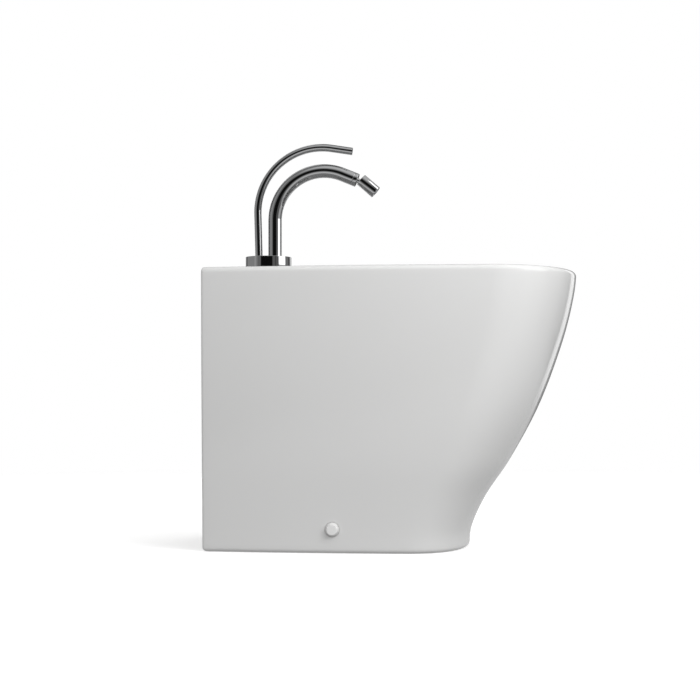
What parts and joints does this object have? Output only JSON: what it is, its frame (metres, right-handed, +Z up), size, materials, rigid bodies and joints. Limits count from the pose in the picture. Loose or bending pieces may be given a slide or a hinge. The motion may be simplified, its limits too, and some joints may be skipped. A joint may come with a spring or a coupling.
{
  "type": "floor standing bidet",
  "caption": "Back-to-wall floor standing bidet with one-hole stick-lever tap, swivelling nozzle, overflow and push-down waste.",
  "frame": {"origin": "on the floor, under the middle of the ceramic", "axes": "+Z up, +X from the wall towards the front of the bowl, Y across"},
  "size_m": [0.5448, 0.361, 0.6073],
  "materials": {
    "vitreous_china": "white glaze",
    "chrome_plate": "polished chrome plate on brass",
    "zinc_steel": "zinc plated steel",
    "stainless": "stainless steel",
    "raw_brass": "machined brass",
    "black_rubber": "black rubber",
    "white_plastic": "white moulded plastic",
    "grey_plastic": "grey moulded plastic",
    "disc_ceramic": "lapped alumina"
  },
  "bodies": {
    "fixed": {"ceramic_body": "vitreous_china", "floor_brackets": "zinc_steel", "bracket_blocks": "grey_plastic", "fixing_screws": "stainless", "screw_sleeves": "white_plastic", "screw_caps": "white_plastic", "tap_base": "chrome_plate", "base_seal": "black_rubber", "shank_gasket": "black_rubber", "shank_washer": "zinc_steel", "shank_nut": "raw_brass", "cartridge_body": "grey_plastic", "retaining_ring": "chrome_plate", "cartridge_seal": "black_rubber", "fixed_disc": "disc_ceramic", "spout_tube": "chrome_plate", "spout_seals": "black_rubber", "spout_screw": "stainless", "spout_collar": "chrome_plate", "overflow_ring": "chrome_plate", "waste_flange": "chrome_plate", "flange_seal": "black_rubber", "waste_body": "chrome_plate", "waste_gasket": "black_rubber", "waste_nut": "raw_brass", "plug_spring": "stainless"},
    "rotor": {"lever_guide": "white_plastic", "pivot_pin": "stainless"},
    "lever": {"lever_ball": "chrome_plate", "spindle": "stainless", "lever_handle": "chrome_plate"},
    "slider": {"disc_carrier": "white_plastic", "moving_disc": "disc_ceramic"},
    "stud": {"ball_stud": "chrome_plate"},
    "nozzle": {"nozzle_body": "chrome_plate", "nozzle_ring": "chrome_plate", "ball_seal": "black_rubber", "aerator": "grey_plastic"},
    "plug": {"waste_plug": "chrome_plate", "plug_stem": "stainless", "plug_seal": "black_rubber"}
  },
  "joints": [
    {"name": "lever_swing", "type": "hinge", "parent": "fixed", "child": "rotor", "pos_m": [-0.2085, 0, 0.4272], "axis": [0, 0, 1], "range_deg": [-45, 45]},
    {"name": "lever_tilt", "type": "hinge", "parent": "rotor", "child": "lever", "pos_m": [-0.2085, 0, 0.4272], "axis": [0, -1, 0], "range_deg": [0, 18]},
    {"name": "disc_slide", "type": "slide", "parent": "rotor", "child": "slider", "axis": [1, 0, 0], "range_m": [0, 0.0044]},
    {"name": "nozzle_swivel", "type": "hinge", "parent": "fixed", "child": "stud", "pos_m": [-0.04549, 0, 0.54639], "axis": [0.9272, 0, -0.3746], "continuous": true},
    {"name": "nozzle_tip", "type": "hinge", "parent": "stud", "child": "nozzle", "pos_m": [-0.04549, 0, 0.54639], "axis": [0, 1, 0], "range_deg": [-18, 3]},
    {"name": "plug_slide", "type": "slide", "parent": "fixed", "child": "plug", "axis": [0, 0, 1], "range_m": [-0.007, 0], "stiffness_N_per_m": 300, "springref_m": 0.008, "deforming": ["plug_spring"]}
  ],
  "couplings": [
    {"joint": "disc_slide", "follows": "lever_tilt", "m_per_rad": 0.01385}
  ]
}
